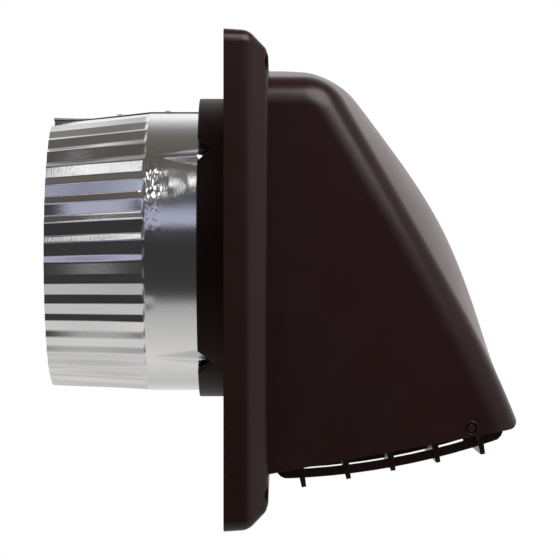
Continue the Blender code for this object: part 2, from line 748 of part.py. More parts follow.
def guard_bars():
    """Cross bars, thinner at the foot, square to the mouth, and a bar at each end."""
    start, end = rail_ends()
    width = 2 * (rail_outer() + BAR_OVERHANG)
    made = []
    for number in range(BAR_COUNT):
        middle = (start + end) / 2 + (number - (BAR_COUNT - 1) / 2) * BAR_PITCH
        top, foot = BAR_HEAD_THICKNESS / 2, BAR_FOOT_THICKNESS / 2
        outline = [(middle - top, BAR_HEAD), (middle - foot, -BAR_FOOT)]
        outline += [(middle + foot, -BAR_FOOT), (middle + top, BAR_HEAD)]
        made.append(prism(f"guard_bar_{number}", outline, width, mouth_frame()))
    return made + [end_bar("rear", start + RAIL_CORNER, -1), end_bar("front", end - RAIL_CORNER, 1)]


def end_bar(name, centre, side):
    """A bar between the rails' ends, its outer face rounded as their corners are."""
    radius = RAIL_CORNER - GAP
    height = RAIL_CORNER - RAIL_DROP
    first, last = math.asin(GAP / radius), math.asin(END_BAR_DEPTH / radius)
    outline = []
    for step in range(5):
        angle = first + (last - first) * step / 4
        outline.append((centre + side * radius * math.cos(angle), height - radius * math.sin(angle)))
    inner = centre + side * (RAIL_CORNER - END_BAR_THICKNESS)
    outline += [(inner, height - END_BAR_DEPTH), (inner, height - GAP)]
    return prism(f"guard_{name}_bar", outline, 2 * rail_outer() - RAIL_THICKNESS, mouth_frame())


def guard_tongue():
    """The snap tongue that stands against the plate, on the rear bar."""
    back = GAP
    front = RAIL_START + END_BAR_THICKNESS / 2
    low = RAIL_CORNER - RAIL_DROP - END_BAR_DEPTH / 2
    step = low + TONGUE_THICKNESS
    outline = [(back, low), (front, low), (front, step), (back + TONGUE_THICKNESS, step)]
    outline += [(back + TONGUE_THICKNESS, TONGUE_HEIGHT), (back, TONGUE_HEIGHT)]
    square_off = Matrix.Translation(at(0, TONGUE_HEIGHT * math.sin(MOUTH_TILT), 0))
    return prism("guard_tongue", outline, TONGUE_WIDTH, square_off @ mouth_frame())


def guard_ear(x):
    """The upright from a side rail that carries a pin."""
    along = mouth_length() - GUARD_PIN_BACK
    outline = []
    for step in range(9):
        angle = math.pi * step / 8
        outline.append(
            (along + EAR_RADIUS * math.cos(angle), GUARD_PIN_RISE + EAR_RADIUS * math.sin(angle))
        )
    foot = -RAIL_DROP
    outline += [(along - EAR_RADIUS, foot), (along + EAR_RADIUS, foot)]
    return prism(f"guard_ear_{x:.3f}", outline, RAIL_THICKNESS - GAP, mouth_frame(x))


def bird_guard(material):
    """Bowed rails, cross bars, ears, pins and tongue: one moulding."""
    wall = half_width(guard_axis()[1])
    rail = rail_outer() - RAIL_THICKNESS / 2
    rails = []
    for name, x in (("left", -rail), ("middle", 0.0), ("right", rail)):
        rails.append(prism(f"{name}_rail", rail_outline(), RAIL_THICKNESS, mouth_frame(x)))
    pin_end = wall + PIN_RING_HEIGHT - PIN_END_DEPTH
    pins = pin_seat("guard_pin", GUARD_PIN_RADIUS, rail, pin_end)
    pins += pin_seat("guard_pin_root", PIN_ROOT_RADIUS, rail, wall - WALL - PIN_ROOT_ROOM)
    guard = place("bird_guard", rails[0].data.copy(), PARTS)
    ears = [guard_ear(-rail), guard_ear(rail)]
    combine(guard, guard_bars() + rails[1:] + ears + pins + [guard_tongue()], "UNION")
    finish(guard, material)
    set_origin(guard, at(0, *guard_axis()))


def build():
    hood_body(make_material("brown_plastic", (0.028, 0.017, 0.015), 0.42, 0.0))
    tailpipe(make_material("aluminium_sheet", (0.78, 0.78, 0.79), 0.24, 1.0))
    damper_flap(make_material("flap_plastic", (0.030, 0.019, 0.017), 0.5, 0.0))
    bird_guard(make_material("guard_plastic", (0.024, 0.014, 0.013), 0.45, 0.0))


build()
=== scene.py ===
import json
import math
import bmesh
import bpy
import numpy as np
from mathutils import Matrix, Vector


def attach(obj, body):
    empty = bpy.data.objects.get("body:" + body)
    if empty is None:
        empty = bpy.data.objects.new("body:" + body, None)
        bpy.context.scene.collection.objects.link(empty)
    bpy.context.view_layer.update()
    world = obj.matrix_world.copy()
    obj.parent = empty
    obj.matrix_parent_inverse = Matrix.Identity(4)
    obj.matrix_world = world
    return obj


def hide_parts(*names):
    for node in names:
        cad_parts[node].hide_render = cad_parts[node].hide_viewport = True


# A wall vent cap: moulded brown hood and flange, crimped aluminium tailpipe, damper and guard.
# Metres, in the CAD's frame: the hood stands out towards -Y and the wall's plane is y = 0.

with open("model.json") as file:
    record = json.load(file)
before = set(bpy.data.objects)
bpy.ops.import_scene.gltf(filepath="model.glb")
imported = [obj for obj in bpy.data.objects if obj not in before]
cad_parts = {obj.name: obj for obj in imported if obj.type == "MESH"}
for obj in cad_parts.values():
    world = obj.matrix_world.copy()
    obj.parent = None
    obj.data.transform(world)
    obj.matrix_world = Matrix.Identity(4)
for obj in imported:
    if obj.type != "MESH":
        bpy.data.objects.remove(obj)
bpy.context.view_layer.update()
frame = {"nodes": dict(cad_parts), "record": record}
joints = {joint["name"]: joint for joint in frame["record"]["behaviour"]["joints"]}

wall = 0.0020  # thickness of the moulding
flangeDepth = 0.0152
plateMiddle = flangeDepth - wall / 2
collarBore = 0.0526
tubeSag = 0.0015  # the tailpipe lies this far below the collar's axis


# Mesh helpers


def addObject(name, mesh):
    made = bpy.data.objects.new(name, mesh)
    bpy.context.scene.collection.objects.link(made)
    return made


def fromShape(name, shape):
    # An object made from a bmesh, which is freed.
    mesh = bpy.data.meshes.new(name)
    shape.to_mesh(mesh)
    shape.free()
    return addObject(name, mesh)


def surface(name, points, closeAcross=False, closeAlong=False):
    # A quad mesh over an array of points, rows by columns, closed either way on request.
    rows, columns = points.shape[:2]
    index = np.arange(rows * columns).reshape(rows, columns)
    if closeAcross:
        index = np.concatenate([index, index[:, :1]], axis=1)
    if closeAlong:
        index = np.concatenate([index, index[:1]], axis=0)
    corners = [index[:-1, :-1], index[:-1, 1:], index[1:, 1:], index[1:, :-1]]
    quads = np.stack(corners, axis=-1).reshape(-1, 4)
    mesh = bpy.data.meshes.new(name)
    mesh.vertices.add(rows * columns)
    mesh.vertices.foreach_set("co", np.ascontiguousarray(points, dtype=np.float32).ravel())
    mesh.loops.add(quads.size)
    mesh.loops.foreach_set("vertex_index", quads.ravel().astype(np.int32))
    mesh.polygons.add(len(quads))
    mesh.polygons.foreach_set("loop_start", np.arange(0, quads.size, 4, dtype=np.int32))
    mesh.update(calc_edges=True)
    mesh.validate()
    return addObject(name, mesh)


def outwards(piece, capEnds=False):
    # Turns a closed mesh's faces outwards, once open ends have a flat face each on request.
    shape = bmesh.new()
    shape.from_mesh(piece.data)
    if capEnds:
        bmesh.ops.holes_fill(shape, edges=[e for e in shape.edges if e.is_boundary], sides=0)
    bmesh.ops.recalc_face_normals(shape, faces=shape.faces)
    shape.to_mesh(piece.data)
    shape.free()
    return piece


def capped(name, rings):
    # Rings one after another as a closed solid.
    return outwards(surface(name, rings, closeAcross=True), capEnds=True)


def turned(name, profile, centre, axis, steps=240):
    # A closed profile of (radius, distance along the axis), turned about an axis.
    along = Vector(axis).normalized()
    side = along.orthogonal().normalized()
    up = along.cross(side)
    angle = np.linspace(0, 2 * math.pi, steps, endpoint=False)
    ring = np.outer(np.cos(angle), side) + np.outer(np.sin(angle), up)
    radius, distance = np.array(profile).T
    points = radius[:, None, None] * ring[None] + distance[:, None, None] * np.array(along)
    return surface(name, points + np.array(centre), closeAcross=True, closeAlong=True)


def extruded(name, outline, thickness, place):
    # A flat outline with a thickness, centred on its own plane and then moved into place.
    shape = bmesh.new()
    low = [shape.verts.new((x, y, -thickness / 2)) for x, y in outline]
    high = [shape.verts.new((x, y, thickness / 2)) for x, y in outline]
    shape.faces.new(low[::-1])
    shape.faces.new(high)
    for i in range(len(outline)):
        j = (i + 1) % len(outline)
        shape.faces.new((low[i], low[j], high[j], high[i]))
    bmesh.ops.recalc_face_normals(shape, faces=shape.faces)
    piece = fromShape(name, shape)
    piece.data.transform(place)
    return piece


def rod(name, radius, length, place, steps):
    # A cylinder about its own Z, moved into place.
    shape = bmesh.new()
    bmesh.ops.create_cone(
        shape, cap_ends=True, segments=steps, radius1=radius, radius2=radius, depth=length, matrix=place
    )
    return fromShape(name, shape)


def bake(piece):
    # Applies a piece's modifiers.
    graph = bpy.context.evaluated_depsgraph_get()
    mesh = bpy.data.meshes.new_from_object(piece.evaluated_get(graph))
    piece.modifiers.clear()
    piece.data = mesh
    return piece


def combine(piece, others, operation):
    # Unites others with a piece, or cuts them from it, and removes them.
    for other in others:
        step = piece.modifiers.new(other.name, "BOOLEAN")
        step.operation = operation
        step.solver = "EXACT"
        step.object = other
    bake(piece)
    for other in others:
        bpy.data.objects.remove(other, do_unlink=True)
    return piece


def smooth(piece, sharpAngle=28):
    # Smooth shading, but for edges that turn by more than an angle in degrees.
    piece.data.shade_smooth()
    piece.data.set_sharp_from_angle(angle=math.radians(sharpAngle))
    return piece


def dress(piece, body, slot, material, *nodes):
    # Gives a finished piece its material, its body and the CAD nodes it stands for.
    piece.data.materials.clear()
    piece.data.materials.append(material)
    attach(piece, body)
    if nodes:
        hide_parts(*nodes)
    return piece


def sideFrame(x=0.0):
    # Local X runs out of the wall, local Y runs up and the thickness runs across.
    return Matrix(((0, 0, -1, x), (-1, 0, 0, 0), (0, 1, 0, 0), (0, 0, 0, 1)))


def arc(forward, height, radius, angles):
    # Points of a circle in the side frame.
    return [(forward + radius * math.cos(t), height + radius * math.sin(t)) for t in angles]


def waves(first, second, size, count, seed):
    # Smooth noise of unit spread: a sum of sine waves of about one size, in random directions.
    pick = np.random.default_rng(seed)
    total = np.zeros(np.broadcast(first, second).shape)
    for _ in range(count):
        turn, phase = pick.uniform(0, 2 * math.pi, 2)
        pace = 2 * math.pi / (size * pick.uniform(0.7, 1.6))
        total += np.sin(pace * (math.cos(turn) * first + math.sin(turn) * second) + phase)
    return total / math.sqrt(count / 2)


# Materials

finish = {
    "grainCoarse": 60.0, "grainFine": 2600.0, "grainStrength": 0.10, "grainHeight": 0.0001,
    "plasticSpread": (-0.04, 0.04),  # of roughness, about its own value
    "edgeRadius": 0.0003, "edgeSamples": 6,  # how far a moulded edge looks rounded
    "lineStretch": (800.0, 2600.0, 800.0), "lineStrength": 0.25, "lineHeight": 0.0001,
    "sheetSpread": (-0.05, 0.06), "cloud": 90.0, "fineDetail": 3.0, "slowDetail": 4.0,
}


def nodeGroup(name, inputs, outputs):
    # An empty shader group with its sockets and its two end nodes.
    group = bpy.data.node_groups.new(name, "ShaderNodeTree")
    for label, value in inputs:
        made = group.interface.new_socket(name=label, in_out="INPUT", socket_type="NodeSocketFloat")
        made.default_value = value
    for label in outputs:
        group.interface.new_socket(name=label, in_out="OUTPUT", socket_type="NodeSocketFloat")
    return group, group.nodes.new("NodeGroupInput"), group.nodes.new("NodeGroupOutput")


def node(tree, kind, sockets=None, **values):
    # Adds a node, sets its properties and its sockets, and links what feeds it.
    made = tree.nodes.new(kind)
    for key, value in values.items():
        setattr(made, key, value)
    for key, source in (sockets or {}).items():
        if isinstance(source, bpy.types.NodeSocket):
            tree.links.new(source, made.inputs[key])
        else:
            made.inputs[key].default_value = source
    return made


def noise(tree, place, scale, detail):
    sockets = {"Vector": place, "Scale": scale, "Detail": detail}
    return node(tree, "ShaderNodeTexNoise", sockets).outputs["Fac"]


def ranged(tree, value, fromRange, toRange, **values):
    # A value carried from one range to another.
    sockets = {"Value": value, "From Min": fromRange[0], "From Max": fromRange[1]}
    sockets.update({"To Min": toRange[0], "To Max": toRange[1]})
    return node(tree, "ShaderNodeMapRange", sockets, **values).outputs["Result"]


def mixed(tree, factor, first, second):
    # A colour between two, by a factor from 0 to 1.
    sockets = {"Factor": factor, "A": first, "B": second}
    return node(tree, "ShaderNodeMix", sockets, data_type="RGBA").outputs["Result"]


def newMaterial(name):
    made = bpy.data.materials.new(name)
    made.use_nodes = True
    return made, made.node_tree, made.node_tree.nodes["Principled BSDF"]


def grainGroup():
    # Fine moulded texture: a bump height, and a slow variation from 0 to 1.
    inputs = [("Coarse", finish["grainCoarse"]), ("Fine", finish["grainFine"])]
    group, start, end = nodeGroup("mouldedGrain", inputs, ["Height", "Drift"])
    place = node(group, "ShaderNodeTexCoord").outputs["Object"]
    fine = noise(group, place, start.outputs["Fine"], finish["fineDetail"])
    coarse = noise(group, place, start.outputs["Coarse"], finish["slowDetail"])
    group.links.new(fine, end.inputs["Height"])
    group.links.new(coarse, end.inputs["Drift"])
    return group


def rolledGroup():
    # Marks of rolled sheet: fine lines round the tube, as a height, and cloudy wear from 0 to 1.
    group, start, end = nodeGroup("rolledSheet", [("Lines", 1.0)], ["Height", "Cloud"])
    place = node(group, "ShaderNodeTexCoord").outputs["Object"]
    stretch = node(group, "ShaderNodeMapping", {"Vector": place, "Scale": finish["lineStretch"]})
    lines = noise(group, stretch.outputs["Vector"], start.outputs["Lines"], finish["fineDetail"])
    cloud = noise(group, place, finish["cloud"], finish["slowDetail"])
    group.links.new(lines, end.inputs["Height"])
    group.links.new(cloud, end.inputs["Cloud"])
    return group


def plastic(name, dark, light, roughness, gloss):
    # Satin moulded plastic: colour drifts between two tones, fine grain, softened edges.
    made, tree, shader = newMaterial(name)
    shader.inputs["IOR"].default_value = 1.5
    shader.inputs["Specular IOR Level"].default_value = gloss
    texture = node(tree, "ShaderNodeGroup", node_tree=grain)
    drift = texture.outputs["Drift"]
    tree.links.new(mixed(tree, drift, dark, light), shader.inputs["Base Color"])
    rough = ranged(tree, drift, (0, 1), [roughness + off for off in finish["plasticSpread"]])
    tree.links.new(rough, shader.inputs["Roughness"])
    soft = node(
        tree, "ShaderNodeBevel", {"Radius": finish["edgeRadius"]}, samples=finish["edgeSamples"]
    )
    bump = node(tree, "ShaderNodeBump", {
        "Height": texture.outputs["Height"], "Strength": finish["grainStrength"],
        "Distance": finish["grainHeight"], "Normal": soft.outputs["Normal"],
    })
    tree.links.new(bump.outputs["Normal"], shader.inputs["Normal"])
    return made


def sheetMetal(name, colour, roughness):
    # Bright rolled sheet: fine lines round the tube and cloudy changes of gloss.
    made, tree, shader = newMaterial(name)
    shader.inputs["Metallic"].default_value = 1.0
    shader.inputs["Base Color"].default_value = colour
    texture = node(tree, "ShaderNodeGroup", node_tree=rolled)
    limits = [roughness + off for off in finish["sheetSpread"]]
    rough = ranged(tree, texture.outputs["Cloud"], (0, 1), limits)
    tree.links.new(rough, shader.inputs["Roughness"])
    bump = node(tree, "ShaderNodeBump", {
        "Height": texture.outputs["Height"], "Strength": finish["lineStrength"],
        "Distance": finish["lineHeight"],
    })
    tree.links.new(bump.outputs["Normal"], shader.inputs["Normal"])
    return made


# Plastics take a dark and a light tone, a roughness and a gloss, and sheets a colour and a roughness.
grain, rolled = grainGroup(), rolledGroup()
brown = (0.0168, 0.0052, 0.0050, 1), (0.0218, 0.0074, 0.0072, 1)
# The guard's tones are lighter than the hood's: painted light, where the hood shades the guard from the
# key lamp.
guardBrownPaintedLight = (0.0250, 0.0092, 0.0088, 1), (0.0310, 0.0122, 0.0118, 1)
flapBrown = (0.0190, 0.0080, 0.0076, 1), (0.0250, 0.0110, 0.0104, 1)
housingPlastic = plastic("brownPlastic", *brown, 0.30, 0.32)
# The collar's copy of the brown has less gloss, so that it renders darker: painted shade behind the
# flange.
collarPaintedShadePlastic = plastic("collarPaintedShadePlastic", *brown, 0.42, 0.10)
guardPlastic = plastic("guardPlastic", *guardBrownPaintedLight, 0.32, 0.32)
flapPlastic = plastic("flapPlastic", *flapBrown, 0.38, 0.32)
tubeMetal = sheetMetal("aluminiumSheet", (0.84, 0.84, 0.84, 1), 0.135)
# A dark metal for the underside of the lock seam's strip: painted shade.
paintedShadeMetal = sheetMetal("paintedShadeSheet", (0.12, 0.12, 0.13, 1), 0.45)
print("materials made")


# Flange: a square pan with a round hole, four screw bosses and their ribs

pan = {
    "half": 0.0857, "corner": 0.0050, "drop": 0.0119,
    "cornerGive": 0.7,  # share of the corner's radius that an inset may take off it
    "skirtDepth": 0.0061, "skirtDraft": 0.0004, "skirtRound": 0.0060,
    "bevelSlope": math.radians(45), "faceRound": 0.0050, "bore": 0.0485,
    "arcSteps": 10, "cornerSteps": 20, "boreSteps": 240, "screwSteps": 48,
    "screwInset": 0.0117, "headRadius": 0.0056, "headDepth": 0.0042, "holeRadius": 0.0023,
    "bossWall": 0.0020, "ribThickness": 0.0016, "ribDepth": 0.0080,
}


def panProfile(insetBy):
    # Inset and depth along the pan's section, moved inwards square to it: a drafted skirt, an arc
    # to the bevel and an arc from the bevel to the face.
    draft = math.atan2(pan["skirtDraft"], pan["skirtDepth"])
    slope = np.linspace(draft, pan["bevelSlope"], pan["arcSteps"])
    inset = pan["skirtDraft"] + pan["skirtRound"] * (math.cos(draft) - np.cos(slope))
    depth = pan["skirtDepth"] + pan["skirtRound"] * (np.sin(slope) - math.sin(draft))
    faceSlope = np.linspace(pan["bevelSlope"], math.pi / 2, pan["arcSteps"])
    bevelEnd = flangeDepth - pan["faceRound"] * (1 - math.sin(pan["bevelSlope"]))
    bevelInset = inset[-1] + (bevelEnd - depth[-1]) * math.tan(pan["bevelSlope"])
    faceInset = bevelInset + pan["faceRound"] * (math.cos(pan["bevelSlope"]) - np.cos(faceSlope))
    faceDepth = bevelEnd + pan["faceRound"] * (np.sin(faceSlope) - math.sin(pan["bevelSlope"]))
    slopes = np.concatenate([[draft], slope, faceSlope])
    insets = np.concatenate([[0.0], inset, faceInset])
    depths = np.concatenate([[0.0], depth, faceDepth])
    return insets + insetBy * np.cos(slopes), depths - insetBy * np.sin(slopes)


def panRings(insets, depths):
    # Rounded squares: a quarter circle at each corner, one after another, for each inset and depth.
    quarter = np.linspace(0, math.pi / 2, pan["cornerSteps"] + 1)
    angle = (quarter[None] + np.arange(4)[:, None] * math.pi / 2).ravel()
    middle = np.repeat(np.radians([45, 135, 225, 315]), len(quarter))
    half = pan["half"] - insets[:, None]
    radius = pan["corner"] - np.minimum(insets, pan["cornerGive"] * pan["corner"])[:, None]
    x = np.sign(np.cos(middle)) * (half - radius) + radius * np.cos(angle)
    z = np.sign(np.sin(middle)) * (half - radius) + radius * np.sin(angle) - pan["drop"]
    y = np.broadcast_to(-depths[:, None], x.shape)
    return np.stack([x, y, z], axis=-1)


def screwPlaces():
    offset = pan["half"] - pan["screwInset"]
    return [(sx * offset, sz * offset - pan["drop"]) for sz in (-1, 1) for sx in (-1, 1)]


def cylinder(name, radius, near, far, x, z, steps=pan["screwSteps"]):
    # A cylinder square to the wall, between two distances in front of it.
    place = Matrix.Translation((x, -(near + far) / 2, z)) @ Matrix.Rotation(math.pi / 2, 4, "X")
    return rod(name, radius, abs(far - near), place, steps)


def makeFlange():
    # The pan: a block less a hollow, which leaves its wall, four bosses and a rib to each.
    flange = capped("flange", panRings(*panProfile(0.0)))
    inset, depth = panProfile(wall)
    inset[0], depth[0] = wall, -wall
    hollow = capped("hollow", panRings(inset, depth))
    kept = []
    cut = [cylinder("bore", pan["bore"], -wall, flangeDepth + wall, 0, 0, pan["boreSteps"])]
    bossRadius = pan["headRadius"] + pan["bossWall"]
    ribLow = flangeDepth - pan["ribDepth"] - wall
    ribInside = collarBore + wall / 2
    floor = flangeDepth - pan["headDepth"]
    flat = Matrix(((1, 0, 0, 0), (0, -1, 0, 0), (0, 0, -1, 0), (0, 0, 0, 1)))
    for number, (x, z) in enumerate(screwPlaces()):
        kept.append(cylinder(f"boss{number}", bossRadius, -2 * wall, flangeDepth, x, z))
        reach = math.hypot(x, z)
        outline = [(ribInside, ribLow), (reach, ribLow), (reach, flangeDepth), (ribInside, flangeDepth)]
        turn = Matrix.Rotation(-math.atan2(z, x), 4, "Y")
        kept.append(extruded(f"rib{number}", outline, pan["ribThickness"], turn @ flat))
        cut.append(cylinder(f"head{number}", pan["headRadius"], floor, flangeDepth + wall, x, z))
        cut.append(cylinder(f"hole{number}", pan["holeRadius"], -wall, flangeDepth, x, z))
    combine(hollow, kept, "DIFFERENCE")
    combine(flange, [hollow], "DIFFERENCE")
    return smooth(combine(flange, cut, "DIFFERENCE"))


# Collar and seat: a short tube behind the plate, its rear edge rounded and notched towards the
# screws, and the ring in front of the bore that the damper closes on

collar = {
    "reach": 0.0101, "edgeRound": 0.0004, "notchWidth": 0.0118, "notchDepth": 0.0055,
    "columns": 720, "edgeSteps": 6, "sharpAngle": 50,
    "seatHeight": 0.0015, "seatWidth": 0.0020, "seatRound": 0.0003, "seatSteps": 5,
}


def notchAngles():
    return [math.atan2(z, x) for x, z in screwPlaces()]


def makeCollar():
    # A closed ring section turned about the axis. Each notch is a V: its depth falls in proportion
    # to the way round from its middle.
    angle = np.linspace(0, 2 * math.pi, collar["columns"], endpoint=False)
    outer = collarBore + wall
    rear = np.full(angle.shape, collar["reach"])
    for middle in notchAngles():
        off = np.abs((angle - middle + math.pi) % (2 * math.pi) - math.pi) * outer
        rear -= collar["notchDepth"] * np.clip(1 - off / (collar["notchWidth"] / 2), 0, None)
    bend = collar["edgeRound"]
    turn = np.linspace(0, math.pi / 2, collar["edgeSteps"])
    rise, run = bend * np.sin(turn), bend * np.cos(turn)
    radius = np.concatenate([[outer], outer - bend + run, collarBore + bend - rise, [collarBore]])
    front = np.full((1, len(angle)), -plateMiddle)
    edge = rear[None] + np.concatenate([rise - bend, run - bend])[:, None]
    y = np.concatenate([front, edge, front])
    points = np.stack([radius[:, None] * np.cos(angle), y, radius[:, None] * np.sin(angle)], axis=-1)
    piece = outwards(surface("collar", points, closeAcross=True, closeAlong=True))
    return smooth(piece, collar["sharpAngle"])


def makeSeat():
    # A square section with two rounded corners, turned about the collar's axis.
    inner, outer = pan["bore"], pan["bore"] + collar["seatWidth"]
    bend, front = collar["seatRound"], flangeDepth + collar["seatHeight"]
    turn = np.linspace(0, math.pi / 2, collar["seatSteps"])
    profile = [(inner, plateMiddle)]
    profile += [(inner + bend - bend * math.cos(t), front - bend + bend * math.sin(t)) for t in turn]
    profile += [(outer - bend + bend * math.sin(t), front - bend + bend * math.cos(t)) for t in turn]
    profile += [(outer, plateMiddle)]
    return smooth(outwards(turned("seatRing", profile, (0, 0, 0), (0, -1, 0))), collar["sharpAngle"])


# Hood: swept along its shoulder line and cut by the mouth

hood = {
    "top": 0.0595, "halfWidth": 0.0615, "draft": math.radians(1.8), "corner": 0.0110,
    "browStart": 0.0273, "browRadius": 0.0167, "slope": math.radians(29.7), "face": 0.0806,
    "chinRadius": 0.3210,
    "crownTop": 0.0046, "crownFace": 0.0101, "crownPeak": 0.0503,  # rise on top and at its peak
    "crownAbove": 0.0700, "crownBelow": 0.0800,
    "browDip": 0.0013, "dipPlace": 0.0215, "dipSpread": 0.0085,
    "mouthDrop": 0.0791, "mouthTilt": math.radians(10.4), "lipRound": 0.0030, "lipSteps": 12,
    "ringRadius": 0.0025, "ringHeight": 0.0003, "seatRadius": 0.0020, "seatDepth": 0.0007,
    "pinHole": 0.0017, "pinSteps": 64,
    "rows": 110, "browRows": 30, "crownColumns": 34, "cornerColumns": 18, "sharpAngle": 24,
    "mostRun": 0.4, "halvings": 40, "mergeWithin": 1e-6,
}
topRun = hood["browStart"] - plateMiddle
browTurn = math.pi / 2 - hood["slope"]
faceRun = topRun + hood["browRadius"] * browTurn
pinAxis = joints["guard_hinge"]["pos_m"]


def halfWidth(height):
    return hood["halfWidth"] + (hood["top"] - height) * math.tan(hood["draft"])


def shoulderLine(run):
    # Forward place, height and slope: a flat top, a round brow, a straight face, a wide chin arc.
    turnedBy = np.clip((run - topRun) / hood["browRadius"], 0, browTurn)
    straight = np.clip(run - faceRun, 0, hood["face"])
    slope = turnedBy + np.clip(run - faceRun - hood["face"], 0, None) / hood["chinRadius"]
    forward = np.minimum(plateMiddle + run, hood["browStart"]) + hood["browRadius"] * np.sin(turnedBy)
    forward = forward + straight * np.cos(turnedBy)
    height = hood["top"] - hood["browRadius"] * (1 - np.cos(turnedBy)) - straight * np.sin(turnedBy)
    forward = forward + hood["chinRadius"] * (np.sin(slope) - np.sin(turnedBy))
    height = height + hood["chinRadius"] * (np.cos(slope) - np.cos(turnedBy))
    return forward, height, slope


def crownRise(run):
    # Rise of the middle over the shoulders: a squared cosine above and below its peak, with a
    # shallow bell taken off round the brow.
    away = run - faceRun - hood["crownPeak"]
    base = np.where(away < 0, hood["crownTop"], 0.0)
    spread = np.where(away < 0, hood["crownAbove"], hood["crownBelow"])
    share = np.minimum(np.abs(away) / spread, 1.0)
    dip = hood["browDip"] * np.exp(-((run - hood["dipPlace"]) / hood["dipSpread"]) ** 2)
    return base + (hood["crownFace"] - base) * np.cos(share * math.pi / 2) ** 2 - dip


def hoodSections(run):
    # Across each section: a parabola for the crown and an arc for each corner, meeting at one slope.
    forward, height, slope = shoulderLine(run)
    outY, outZ = np.sin(slope), np.cos(slope)
    rise, corner = crownRise(run), hood["corner"]
    leave = np.arctan(2 * rise / (halfWidth(height) - corner))
    side = halfWidth(height - outZ * corner * np.cos(leave))
    edge = side - corner * (1 - np.sin(leave))
    share = np.linspace(0, 1, hood["crownColumns"], endpoint=False)
    crownX, crownLift = edge[:, None] * share, rise[:, None] * (1 - share**2)
    step = np.linspace(0, 1, hood["cornerColumns"])
    angle = leave[:, None] + (math.pi / 2 - leave[:, None]) * step
    cornerX = side[:, None] - corner * (1 - np.sin(angle))
    cornerLift = corner * (np.cos(angle) - np.cos(leave[:, None]))
    halfX, halfLift = np.hstack([crownX, cornerX]), np.hstack([crownLift, cornerLift])
    x = np.hstack([-halfX[:, :0:-1], halfX])
    lift = np.hstack([halfLift[:, :0:-1], halfLift])
    y = -(forward[:, None] + outY[:, None] * lift)
    z = height[:, None] + outZ[:, None] * lift
    return np.stack([x, y, z], axis=-1)


def mouthHeight(forward):
    return -hood["mouthDrop"] + (forward - flangeDepth) * math.tan(hood["mouthTilt"])


def mouthRun():
    # The run at which the shoulder line meets the mouth, found by halving.
    low, high = 0.0, hood["mostRun"]
    for _ in range(hood["halvings"]):
        middle = (low + high) / 2
        forward, height, _slope = shoulderLine(middle)
        low, high = (middle, high) if height > mouthHeight(forward) else (low, middle)
    return low


def belowMouth():
    # All that lies below the mouth, with the front lip's corner rounded.
    forward, height, slope = [float(v) for v in shoulderLine(mouthRun())]
    tip = Vector((forward, height))
    back = Vector((-math.cos(hood["mouthTilt"]), -math.sin(hood["mouthTilt"])))
    up = Vector((-math.cos(slope), math.sin(slope)))
    halfAngle = back.angle(up) / 2
    centre = tip + (back + up).normalized() * (hood["lipRound"] / math.sin(halfAngle))
    start = tip + back * (hood["lipRound"] / math.tan(halfAngle)) - centre
    outline = [(0.0, mouthHeight(0.0))]
    for step in range(hood["lipSteps"] + 1):
        turn = Matrix.Rotation((math.pi - 2 * halfAngle) * step / hood["lipSteps"], 2)
        outline.append(tuple(centre + turn @ start))
    past = 0.2  # clear of the whole hood
    outline += [(past, outline[-1][1]), (past, -past), (0.0, -past)]
    return extruded("belowMouth", outline, 2 * past, sideFrame())


def pinDiscs(name, radius, inner, outer):
    # A pair of discs on the guard's axis, between two distances from the middle.
    made = []
    for sign in (-1, 1):
        centre = (sign * (inner + outer) / 2, pinAxis[1], pinAxis[2])
        place = Matrix.Translation(centre) @ Matrix.Rotation(math.pi / 2, 4, "Y")
        made.append(rod(f"{name}{sign}", radius, outer - inner, place, hood["pinSteps"]))
    return made


def hoodShell():
    # The swept face with a flat side wall down each side, and its thickness inwards.
    brow = np.linspace(topRun, faceRun, hood["browRows"])
    face = np.linspace(faceRun, mouthRun() + 3 * wall, hood["rows"])[1:]
    runs = np.concatenate([[0.0, topRun / 2], brow, face])
    low = -hood["mouthDrop"] - 3 * wall
    foot = np.zeros((len(runs), 1, 3))
    foot[:, 0, 1], foot[:, 0, 2] = -plateMiddle, low
    left, right = foot.copy(), foot.copy()
    left[:, 0, 0], right[:, 0, 0] = -halfWidth(low), halfWidth(low)
    shell = surface("hood", np.concatenate([left, hoodSections(runs), right], axis=1))
    shape = bmesh.new()
    shape.from_mesh(shell.data)
    bmesh.ops.remove_doubles(shape, verts=shape.verts, dist=hood["mergeWithin"])
    bmesh.ops.recalc_face_normals(shape, faces=shape.faces)
    front = min(shape.faces, key=lambda face: face.calc_center_median().y)
    if front.normal.y > 0:
        bmesh.ops.reverse_faces(shape, faces=shape.faces)
    shape.to_mesh(shell.data)
    shape.free()
    thick = shell.modifiers.new("wall", "SOLIDIFY")
    thick.thickness, thick.offset, thick.use_even_offset = wall, -1, True
    return bake(shell)


def makeHood():
    # The shell cut by the mouth, with a raised ring, a shallow seat and a hole for each pin.
    shell = combine(hoodShell(), [belowMouth()], "DIFFERENCE")
    side = halfWidth(pinAxis[2])
    face = side + hood["ringHeight"]
    combine(shell, pinDiscs("ring", hood["ringRadius"], side - wall / 2, face), "UNION")
    cut = pinDiscs("recess", hood["seatRadius"], face - hood["seatDepth"], side + wall)
    cut += pinDiscs("pinHole", hood["pinHole"], side - 2 * wall, side + wall)
    return smooth(combine(shell, cut, "DIFFERENCE"), hood["sharpAngle"])


# Lugs that carry the damper's bar

lug = {
    "offset": 0.0380, "thickness": 0.0030, "bore": 0.0019, "wall": 0.0015,
    "noseSteps": 25, "boreSteps": 32,
}


